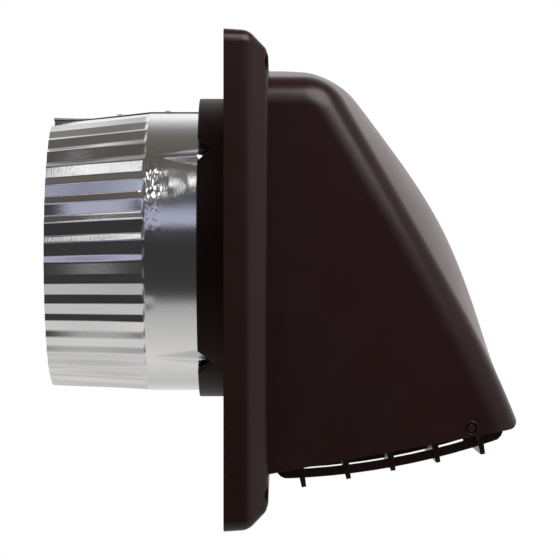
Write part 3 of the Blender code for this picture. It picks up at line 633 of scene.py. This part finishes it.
def makeLugs():
    # Each lug is a straight arm from the plate with a half round nose, bored through.
    _x, y, height = joints["damper_hinge"]["pos_m"]
    turn = np.linspace(math.pi / 2, -math.pi / 2, lug["noseSteps"])
    nose = arc(-y, height, lug["bore"] + lug["wall"], turn)
    outline = [(plateMiddle, nose[0][1])] + nose + [(plateMiddle, nose[-1][1])]
    bore = arc(-y, height, lug["bore"], np.linspace(0, 2 * math.pi, lug["boreSteps"], endpoint=False))
    made = []
    for side, sign in (("L", -1), ("R", 1)):
        place = sideFrame(sign * lug["offset"])
        piece = extruded(f"damperLug{side}", outline, lug["thickness"], place)
        hole = extruded("lugBore", bore, 3 * lug["thickness"], place)
        made.append(smooth(combine(piece, [hole], "DIFFERENCE")))
    return made


dress(makeFlange(), "housing", "brown_plastic", housingPlastic, "hood_body")
dress(makeCollar(), "housing", "brown_plastic", collarPaintedShadePlastic)
for piece in (makeSeat(), makeHood(), *makeLugs()):
    dress(piece, "housing", "brown_plastic", housingPlastic)
print("housing made")


# Tailpipe: rolled sheet, crimped at its free end

tube = {
    "radius": 0.0508, "sheet": 0.0004, "front": -0.0129, "reach": 0.0640, "sharpAngle": 60,
    "crimpStart": 0.0281, "runout": 0.0015, "depth": 0.00095, "taper": 0.0030, "sag": 0.0010,
    "count": 42, "groove": 0.38, "unevenDepth": 0.10, "unevenPlace": 0.02, "seed": 8,
    "flatPace": 3,  # the skin turns flat between bends this many times as fast as they deepen
    "seamPull": 0.40, "pullAt": 3, "pullSpread": 8,  # flutes beside the seam, drawn to it
    "topGroove": 0.26, "topDepth": 0.80, "topAt": 1, "topSpread": 3,  # and made shallower
    "warp": 0.00013, "warpStep": 7.3, "warpSize": 0.060, "warpWaves": 9, "warpSeed": 5,
    "stakeCatch": 0.0009, "stakeMost": 0.0013, "stakeAngle": math.radians(4.2),
    "stakeTail": 0.0169, "stakeRoom": 0.0006, "stakePoint": 0.12,
    "wrinkles": ((0.0015, 0.00002, 11), (0.0028, 0.00002, 12)),  # size, height and seed
    "wrinkleWaves": 14, "wrinkleLeast": 0.12,  # share of them that goes all the way round
    "wrinkleFrom": 0.0060, "wrinkleFadeIn": 0.0020, "wrinkleTo": 0.0015, "wrinkleFadeOut": 0.0010,
    "wrinkleAngle": math.radians(150), "wrinkleSpread": math.radians(21),
    "buckle": 0.00060, "buckleFrom": 0.0135, "buckleLength": 0.0067, "buckleCurve": 1.15,
    "buckleEnd": 0.0030, "buckleAngle": math.radians(153), "buckleSize": 0.0042,
    "dentBack": 0.0273, "dentAngle": math.radians(201.8), "dentSize": 0.0022, "dentDepth": 0.00016,
}
tubeGrid = {
    "landParts": (0.025, 0.10, 0.25, 0.42, 0.60, 0.78, 0.92, 0.975),
    "riseParts": (0.05, 0.25, 0.5, 0.75, 0.95),
    "hiddenTo": 0.0045, "shownFrom": 0.0050, "fineBefore": 0.008, "fineAfter": 0.006,
    "hiddenRows": 5, "plainRows": 34, "fineRows": 57, "crimpRows": 26,
    "innerPlain": (0.0, 0.015), "innerRunout": 0.004, "innerRows": 9, "innerCrimp": 0.045,
}


def along(back):
    # Share of the way from the crimps' start to the free end.
    return np.clip((back - tube["crimpStart"]) / (tube["reach"] - tube["crimpStart"]), 0, None)


def fluteNodes():
    # Angle and depth of each flute's two bends: its land leans in from a crest to a groove, and a
    # steeper face rises to the next crest. Presses are uneven, so both vary a little, and the
    # seam draws the crests on one side of it together.
    pitch = 2 * math.pi / tube["count"]
    pick = np.random.default_rng(tube["seed"])
    number = np.arange(tube["count"])
    place = number + tube["unevenPlace"] * pick.standard_normal(tube["count"])
    pull = np.exp(-((number - tube["pullAt"]) ** 2) / tube["pullSpread"])
    crest = math.pi / 2 + (place - tube["seamPull"] * pull) * pitch
    depth = 1 + tube["unevenDepth"] * pick.standard_normal(tube["count"])
    nearTop = np.exp(-(((number - tube["topAt"]) / tube["topSpread"]) ** 4))
    depth = depth * (1 - (1 - tube["topDepth"]) * nearTop)
    groove = tube["groove"] + (tube["topGroove"] - tube["groove"]) * nearTop
    angles = np.stack([crest, crest + pitch * (1 - groove)], axis=1)
    return angles.ravel(), np.stack([0 * depth, depth], axis=1).ravel()


def stakeRise(angle, back):
    # Four creases that start in the collar's notches, peak at its edge and run out behind it.
    start = collar["reach"] - collar["notchDepth"] + tube["stakeRoom"]
    before = np.sqrt(np.clip((back - start) / (collar["reach"] - start), 0, 1))
    after = np.clip(1 - (back - collar["reach"]) / tube["stakeTail"], 0, 1)
    spread = tube["stakeAngle"] * (tube["stakePoint"] + (1 - tube["stakePoint"]) * after)
    rise = np.zeros(np.broadcast(angle, back).shape)
    for middle in notchAngles():
        x, z = collarBore * math.cos(middle), collarBore * math.sin(middle) + tubeSag
        peak = min(math.hypot(x, z) - tube["radius"] + tube["stakeCatch"], tube["stakeMost"])
        off = np.abs((angle - math.atan2(z, x) + math.pi) % (2 * math.pi) - math.pi)
        rise += peak * before * after * np.clip(1 - off / spread, 0, 1)
    return rise


def wrinkleRise(angle, back):
    # Smooth noise of two sizes just before the crimps, in a window that is strongest at one angle.
    away = back - tube["crimpStart"]
    window = np.clip((away + tube["wrinkleFrom"]) / tube["wrinkleFadeIn"], 0, 1)
    window = window * np.clip((tube["wrinkleTo"] - away) / tube["wrinkleFadeOut"], 0, 1)
    off = (angle - tube["wrinkleAngle"]) / tube["wrinkleSpread"]
    window = window * (tube["wrinkleLeast"] + np.exp(-(off**4)))
    rise = 0
    for size, height, seed in tube["wrinkles"]:
        noisy = waves(angle * tube["radius"], back, size, tube["wrinkleWaves"], seed)
        rise = rise + window * height * noisy
    return rise


def dentFall(angle, back):
    # A buckle that deepens along the tube and is a bell across it, and one small round dent.
    sunk = np.clip((back - tube["buckleFrom"]) / tube["buckleLength"], 0, 1) ** tube["buckleCurve"]
    sunk = sunk * np.clip(1 - (back - tube["crimpStart"]) / tube["buckleEnd"], 0, 1)
    fromBuckle = (angle - tube["buckleAngle"]) * tube["radius"] / tube["buckleSize"]
    fromDent = ((angle - tube["dentAngle"]) * tube["radius"]) ** 2 + (back - tube["dentBack"]) ** 2
    dent = tube["dentDepth"] * np.exp(-fromDent / tube["dentSize"] ** 2)
    return tube["buckle"] * sunk * np.exp(-(fromBuckle**2)) + dent


def tubePoints(back, share, bendAngles, bendDepths, inwards):
    # Points of the tube's skin at places along it and round it. The plain tube is a circle. The
    # crimped one is a polygon through the flutes' bends, and the skin turns from one to the other
    # over the runout.
    column = np.floor(share).astype(int) % len(bendAngles)
    part = share - np.floor(share)
    after = (column + 1) % len(bendAngles)
    radius = tube["radius"] - tube["taper"] * along(back) - inwards
    crimp = np.clip((back - tube["crimpStart"]) / tube["runout"], 0, 1)
    crimp = crimp * crimp * (3 - 2 * crimp)
    gap = (bendAngles[after] - bendAngles[column]) % (2 * math.pi)
    angle = bendAngles[column] + gap * part
    bends = np.arange(len(bendAngles))[None] * tube["warpStep"]
    warp = waves(bends, back, tube["warpSize"], tube["warpWaves"], tube["warpSeed"])
    lengths = radius - tube["depth"] * crimp * bendDepths[None] + tube["warp"] * crimp * warp
    near, far = lengths[:, column], lengths[:, after]
    flatX = near * np.cos(bendAngles[column]) * (1 - part) + far * np.cos(bendAngles[after]) * part
    flatZ = near * np.sin(bendAngles[column]) * (1 - part) + far * np.sin(bendAngles[after]) * part
    flat = np.minimum(crimp * tube["flatPace"], 1)
    x = flatX * flat + radius * np.cos(angle) * (1 - flat)
    z = flatZ * flat + radius * np.sin(angle) * (1 - flat)
    lift = stakeRise(angle, back) + wrinkleRise(angle, back) - dentFall(angle, back)
    x = x + lift * np.cos(angle)
    z = z + lift * np.sin(angle) - tubeSag - tube["sag"] * along(back)
    return np.stack([x, np.broadcast_to(back, x.shape), z], axis=-1)


def makeTube():
    # The outer skin with fine rows round the crimps' start, and a coarser inner one back again.
    bendAngles, bendDepths = fluteNodes()
    within = (tubeGrid["landParts"], tubeGrid["riseParts"])
    share = np.array([bend + part for bend in range(len(bendAngles)) for part in within[bend % 2]])
    edge = tube["crimpStart"]
    before, after = edge - tubeGrid["fineBefore"], edge + tubeGrid["fineAfter"]
    stations = np.concatenate([
        np.linspace(tube["front"], tubeGrid["hiddenTo"], tubeGrid["hiddenRows"]),
        np.linspace(tubeGrid["shownFrom"], before, tubeGrid["plainRows"])[:-1],
        np.linspace(before, after, tubeGrid["fineRows"])[:-1],
        np.linspace(after, tube["reach"], tubeGrid["crimpRows"]),
    ])
    outer = tubePoints(stations[:, None], share, bendAngles, bendDepths, 0.0)
    coarse = np.concatenate([
        [tube["front"], *tubeGrid["innerPlain"], edge - tubeGrid["innerRunout"]],
        np.linspace(edge, edge + tubeGrid["innerRunout"], tubeGrid["innerRows"]),
        [tubeGrid["innerCrimp"], tube["reach"]],
    ])
    inner = tubePoints(coarse[::-1, None], share, bendAngles, bendDepths, tube["sheet"])
    skin = surface("tailpipeSkin", np.concatenate([outer, inner]), closeAcross=True, closeAlong=True)
    return smooth(outwards(skin), tube["sharpAngle"])


# Lock seam: a folded strip along the tube's top, whose free end has sprung up

seam = {
    "width": 0.0070, "thickness": 0.00042, "clearance": 0.00004, "endRoom": 0.0004,
    "edgeFrom": 0.93, "edgeThickness": 0.25,  # shares of the half width and of the thickness
    "liftFrom": 0.0495, "lift": 0.0015, "liftCurve": 1.2, "curl": 1.0,
    "button": 0.0007, "buttonSize": 0.0015, "buttons": (0.0220, 0.0397),
    "rows": 160, "columns": 25, "sharpAngle": 40, "shadeFrom": 0.5,
}


def makeSeam():
    # The strip follows the tube's top, lifts nearly in proportion to the way past its last hold,
    # and has domed buttons.
    back = np.linspace(tube["front"], tube["reach"] - seam["endRoom"], seam["rows"])
    free = np.clip((back - seam["liftFrom"]) / (tube["reach"] - seam["liftFrom"]), 0, 1)
    sprung = free ** seam["liftCurve"] * seam["lift"]
    radius = tube["radius"] - tube["taper"] * along(back) + seam["clearance"]
    drop = tubeSag + tube["sag"] * along(back)
    across = np.linspace(-1, 1, seam["columns"]) * seam["width"] / 2
    pastEdge = (np.abs(across) / (seam["width"] / 2) - seam["edgeFrom"]) / (1 - seam["edgeFrom"])
    full = 1 - np.clip(pastEdge, 0, 1) ** 2
    angle = across[None] / radius[:, None]
    button = sum(
        np.exp(-(((back[:, None] - middle) ** 2 + across[None] ** 2) / seam["buttonSize"] ** 2) ** 2)
        for middle in seam["buttons"]
    )
    low = radius[:, None] + sprung[:, None] * (0.5 - across[None] / seam["width"])
    thick = seam["thickness"] * (1 + seam["curl"] * free[:, None])
    top = low + thick * (seam["edgeThickness"] + (1 - seam["edgeThickness"]) * full)
    top = top + seam["button"] * button
    ring = np.concatenate([top, low[:, ::-1]], axis=1)
    turn = np.concatenate([angle, angle[:, ::-1]], axis=1)
    x, z = ring * np.sin(turn), ring * np.cos(turn) - drop[:, None]
    points = np.stack([x, np.broadcast_to(back[:, None], x.shape), z], axis=-1)
    return smooth(capped("lockSeam", points), seam["sharpAngle"])


def paintShadeUnderside(piece):
    # Faces that look back at the tube's axis take a dark metal: painted shade under the strip.
    count = len(piece.data.polygons)
    normal, centre = np.empty(3 * count), np.empty(3 * count)
    piece.data.polygons.foreach_get("normal", normal)
    piece.data.polygons.foreach_get("center", centre)
    outward = (normal.reshape(-1, 3) * centre.reshape(-1, 3))[:, [0, 2]].sum(axis=1)
    inward = outward < -seam["shadeFrom"] * tube["radius"]
    piece.data.materials.append(paintedShadeMetal)
    piece.data.polygons.foreach_set("material_index", inward.astype(np.int32))


dress(makeTube(), "housing", "aluminium_sheet", tubeMetal, "tailpipe")
paintShadeUnderside(dress(makeSeam(), "housing", "aluminium_sheet", tubeMetal))
print("tailpipe made")


# Damper and guard: merged copies of their CAD solids

copied = {"mergeWithin": 2e-6, "flatAngle": 0.5, "sharpAngle": 30}


def mergedCopy(nodeName, name):
    # A copy of a CAD node's mesh with its loose triangles joined and flat runs of them dissolved.
    mesh = frame["nodes"][nodeName].data.copy()
    shape = bmesh.new()
    shape.from_mesh(mesh)
    bmesh.ops.remove_doubles(shape, verts=shape.verts, dist=copied["mergeWithin"])
    bmesh.ops.recalc_face_normals(shape, faces=shape.faces)
    flat = math.radians(copied["flatAngle"])
    bmesh.ops.dissolve_limit(shape, angle_limit=flat, verts=shape.verts, edges=shape.edges)
    shape.to_mesh(mesh)
    shape.free()
    return smooth(addObject(name, mesh), copied["sharpAngle"])


dress(mergedCopy("damper_flap", "damperFlap"), "damper", "flap_plastic", flapPlastic, "damper_flap")
dress(mergedCopy("bird_guard", "birdGuard"), "guard", "guard_plastic", guardPlastic, "bird_guard")
print("damper and guard made")


# Floor, backdrop, lights and camera

studio = {
    "floor": -0.30, "floorSize": 1.6, "floorTone": 0.45, "floorSeen": 0.90, "floorRough": 0.9,
    "floorGlow": 0.70, "glowFrom": 0.3, "glowTo": 0.9,  # the last two are shares of its size
    "ambientLow": 0.10, "ambientHigh": 0.40,
    "frontTone": 0.55, "rearTone": 0.12, "sidesFrom": 0.55, "sidesTo": 0.95,
    "aimPoint": (0, 0.02, 0), "cameraPlace": (-1.100, -0.0192, -0.0119), "lens": 192.4, "sensor": 36,
}

# What gloss shows of the studio, by the angle over from -X: a dark room, a window band above it, a
# pale floor below it, and white behind the cap.
roomTones = [
    (-180, (0.95, 0.88, 0.87)), (-165, (0.75, 0.74, 0.73)), (-135, (0.57, 0.57, 0.56)),
    (-100, (0.76, 0.74, 0.71)), (-60, (0.53, 0.53, 0.53)), (-46, (0.42, 0.42, 0.42)),
    (-38, (0.08, 0.08, 0.08)), (-30, (0.045, 0.045, 0.045)), (0, (0.035, 0.035, 0.035)),
    (19.5, (0.05, 0.05, 0.055)), (22, (0.50, 0.51, 0.65)), (32, (0.38, 0.39, 0.52)),
    (42, (0.075, 0.075, 0.10)), (60, (0.070, 0.066, 0.062)), (90, (0.115, 0.105, 0.095)),
    (112, (0.165, 0.155, 0.145)), (122, (0.27, 0.27, 0.27)), (132, (0.53, 0.53, 0.53)),
    (146, (1.00, 1.00, 1.00)), (158, (1.00, 1.00, 1.00)), (166, (1.00, 0.93, 0.92)),
    (180, (0.95, 0.88, 0.87)),
]


def makeFloor():
    # White to the camera with a soft shadow round the middle. Gloss looks through it to the room's
    # own tones, and matt surfaces see it as a plain grey.
    shape = bmesh.new()
    bmesh.ops.create_grid(shape, x_segments=1, y_segments=1, size=studio["floorSize"])
    floor = fromShape("floor", shape)
    floor.location.z = studio["floor"]
    made, tree, shader = newMaterial("paleFloor")
    shader.inputs["Roughness"].default_value = studio["floorRough"]
    rays = node(tree, "ShaderNodeLightPath")
    toCamera = rays.outputs["Is Camera Ray"]
    grey, pale = [(tone, tone, tone, 1) for tone in (studio["floorTone"], studio["floorSeen"])]
    tree.links.new(mixed(tree, toCamera, grey, pale), shader.inputs["Base Color"])
    white = node(tree, "ShaderNodeEmission", {"Color": (1, 1, 1, 1), "Strength": 1.0})
    place = node(tree, "ShaderNodeTexCoord").outputs["Object"]
    away = node(tree, "ShaderNodeVectorMath", {0: place}, operation="LENGTH").outputs["Value"]
    reach = [studio[share] * studio["floorSize"] for share in ("glowFrom", "glowTo")]
    glow = ranged(tree, away, reach, (studio["floorGlow"], 1.0))
    seen = node(tree, "ShaderNodeMath", {0: toCamera, 1: glow}, operation="MULTIPLY").outputs[0]
    lit = node(tree, "ShaderNodeMixShader", {0: seen, 1: shader.outputs[0], 2: white.outputs[0]})
    clear = node(tree, "ShaderNodeBsdfTransparent")
    toGloss = rays.outputs["Is Glossy Ray"]
    end = node(tree, "ShaderNodeMixShader", {0: toGloss, 1: lit.outputs[0], 2: clear.outputs[0]})
    tree.links.new(end.outputs[0], tree.nodes["Material Output"].inputs["Surface"])
    floor.data.materials.append(made)


def makeWorld():
    # White to the camera, a grey that pales upwards to matt surfaces, the room's tones to gloss.
    world = bpy.data.worlds.new("studio")
    bpy.context.scene.world = world
    world.use_nodes = True
    tree = world.node_tree
    tree.nodes.clear()
    place = node(tree, "ShaderNodeTexCoord").outputs["Generated"]
    parts = node(tree, "ShaderNodeSeparateXYZ", {0: place}).outputs
    near = node(tree, "ShaderNodeMath", {0: parts["X"], 1: -1.0}, operation="MULTIPLY").outputs[0]
    over = node(tree, "ShaderNodeMath", {0: parts["Z"], 1: near}, operation="ARCTAN2").outputs[0]
    ramp = node(tree, "ShaderNodeValToRGB", {0: ranged(tree, over, (-math.pi, math.pi), (0, 1))})
    stops = ramp.color_ramp.elements
    stops[0].color, stops[1].color = (*roomTones[0][1], 1), (*roomTones[-1][1], 1)
    for angle, colour in roomTones[1:-1]:
        stops.new((angle + 180) / 360).color = (*colour, 1)
    sideways = node(tree, "ShaderNodeMath", {0: parts["Y"]}, operation="ABSOLUTE").outputs[0]
    limits = (studio["sidesFrom"], studio["sidesTo"])
    share = ranged(tree, sideways, limits, (0, 1), interpolation_type="SMOOTHSTEP")
    limits = (-studio["sidesFrom"], studio["sidesFrom"])
    sides = ranged(tree, parts["Y"], limits, (studio["frontTone"], studio["rearTone"]))
    room = mixed(tree, share, ramp.outputs["Color"], sides)
    level = ranged(tree, parts["Z"], (-1.0, 1.0), (studio["ambientLow"], studio["ambientHigh"]))
    rays = node(tree, "ShaderNodeLightPath").outputs
    soft = mixed(tree, rays["Is Glossy Ray"], level, room)
    seen = mixed(tree, rays["Is Camera Ray"], soft, (1, 1, 1, 1))
    light = node(tree, "ShaderNodeBackground", {"Color": seen, "Strength": 1.0})
    end = node(tree, "ShaderNodeOutputWorld")
    tree.links.new(light.outputs[0], end.inputs["Surface"])


def makeLamp(name, towards, distance, size, power, colour=(1.0, 1.0, 1.0), inGloss=True):
    # A softbox in a direction from the cap, aimed at it. Gloss may see the room's tones instead.
    data = bpy.data.lights.new(name, "AREA")
    data.shape = "RECTANGLE"
    data.size, data.size_y = size
    data.energy = power
    data.color = colour
    lamp = bpy.data.objects.new(name, data)
    bpy.context.scene.collection.objects.link(lamp)
    aim = Vector(towards).normalized()
    lamp.visible_glossy = inGloss
    lamp.location = aim * distance + Vector(studio["aimPoint"])
    lamp.rotation_euler = aim.to_track_quat("Z", "Y").to_euler()


def makeCamera():
    data = bpy.data.cameras.new("camera")
    data.lens, data.sensor_width = studio["lens"], studio["sensor"]
    camera = bpy.data.objects.new("camera", data)
    camera.location = studio["cameraPlace"]
    camera.rotation_euler = (math.radians(90), 0, math.radians(-90))
    bpy.context.scene.collection.objects.link(camera)
    bpy.context.scene.camera = camera


# Lamps take a direction, a distance, a size and a power.
makeFloor()
makeWorld()
makeLamp("keyBox", (-0.55, -0.42, 0.72), 0.6, (0.40, 0.40), 3.2, colour=(1.0, 0.985, 0.97))
makeLamp("fillBox", (0.65, -0.50, 0.50), 1.5, (1.40, 1.40), 13.0, inGloss=False)
makeLamp("rearBox", (0.20, 0.85, 0.50), 1.5, (1.20, 1.20), 9.0, inGloss=False)
makeLamp("spark", (-0.60, 0.22, 0.76), 1.0, (0.12, 0.16), 0.08)
makeCamera()
bpy.context.scene.view_settings.view_transform = "Standard"
print("stage made")
